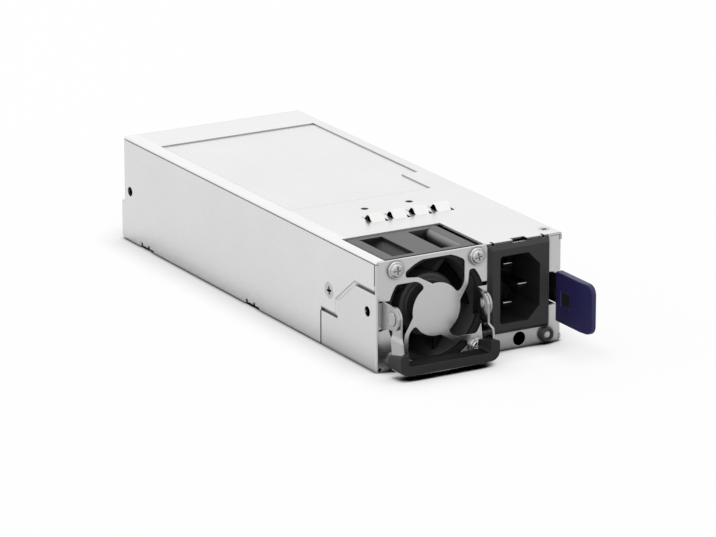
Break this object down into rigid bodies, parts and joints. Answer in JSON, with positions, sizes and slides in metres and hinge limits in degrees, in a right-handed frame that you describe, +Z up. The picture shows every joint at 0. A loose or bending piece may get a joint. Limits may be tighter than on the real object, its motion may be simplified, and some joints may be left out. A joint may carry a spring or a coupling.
{
  "type": "hot swap server power supply",
  "caption": "Slim sheet-metal hot swap server power supply with front fan, mains inlet, folding bail handle, sprung release tab and card-edge output at the rear.",
  "frame": {"origin": "centre of the case's underside, halfway between the front panel's face and the rear wall of the case", "axes": "+Y from the front panel to the card edge, the way the module slides in; +Z up; +X to the right seen from the front"},
  "size_m": [0.0751, 0.2172, 0.0412],
  "materials": {
    "case_steel": "plain plated sheet, satin",
    "panel_steel": "plain plated sheet, satin",
    "fan_plastic": "moulded, light texture",
    "black_plastic": "moulded",
    "ferrite": "sintered",
    "hardware_steel": "ground",
    "copper": "enamelled wire",
    "foam": "closed-cell foam",
    "cable": "smooth sleeve",
    "bright_screw": "bright nickel",
    "grip_rubber": "smooth moulded",
    "pin_plate": "nickel plated",
    "lens_plastic": "clear light pipe",
    "blue_plastic": "moulded, dark blue",
    "bright_spring": "bright spring sheet",
    "board_green": "solder mask",
    "gold_plate": "hard gold",
    "brass_plate": "turned",
    "clear_film": "polyester film",
    "yellow_plastic": "moulded box",
    "can_sleeve": "shrunk sleeve",
    "heatsink_alloy": "extruded"
  },
  "bodies": {
    "case": {"chassis": "case_steel", "top_cover": "case_steel", "front_panel": "panel_steel", "rear_panel": "case_steel", "fan_frame": "fan_plastic", "fan_bearings": "hardware_steel", "fan_stator": "copper", "fan_gasket": "foam", "fan_lead": "cable", "fan_plug": "black_plastic", "fan_screws": "bright_screw", "side_screws": "bright_screw", "cover_screw": "bright_screw", "handle_rivets": "bright_screw", "inlet_housing": "black_plastic", "inlet_pins": "pin_plate", "status_bezel": "black_plastic", "status_lens": "lens_plastic", "latch_pin": "hardware_steel", "latch_bracket": "hardware_steel", "spring_fingers": "bright_spring", "main_board": "board_green", "edge_contacts": "gold_plate", "board_standoffs": "brass_plate", "insulator_sheet": "clear_film", "filter_choke_core": "ferrite", "filter_choke_windings": "copper", "boost_choke_core": "ferrite", "boost_choke_winding": "copper", "filter_capacitor": "yellow_plastic", "relay": "black_plastic", "fuse_link": "pin_plate", "bulk_capacitor": "can_sleeve", "transformer_core": "ferrite", "transformer_winding": "copper", "resonant_choke": "ferrite", "primary_heatsink": "heatsink_alloy", "power_transistors": "black_plastic", "secondary_heatsink": "heatsink_alloy", "output_capacitors": "heatsink_alloy", "control_board": "board_green", "control_header": "black_plastic"},
    "fan": {"fan_rotor": "black_plastic", "fan_shaft": "hardware_steel", "fan_magnet": "ferrite"},
    "handle": {"handle_bail": "panel_steel", "handle_grip": "grip_rubber"},
    "latch": {"latch_lever": "panel_steel", "latch_tab": "blue_plastic", "latch_spring": "hardware_steel"}
  },
  "joints": [
    {"name": "fan_spin", "type": "hinge", "parent": "case", "child": "fan", "pos_m": [-0.01335, -0.0766, 0.0195], "axis": [0, 1, 0], "continuous": true},
    {"name": "handle_swing", "type": "hinge", "parent": "case", "child": "handle", "pos_m": [-0.01585, -0.0989, 0.0207], "axis": [-1, 0, 0], "range_deg": [0, 110]},
    {"name": "latch_press", "type": "hinge", "parent": "case", "child": "latch", "pos_m": [0.0331, -0.0475, 0.01935], "axis": [0, 0, -1], "range_deg": [0, 2.9], "stiffness_Nm_per_rad": 1.5, "springref_deg": -6.88}
  ]
}
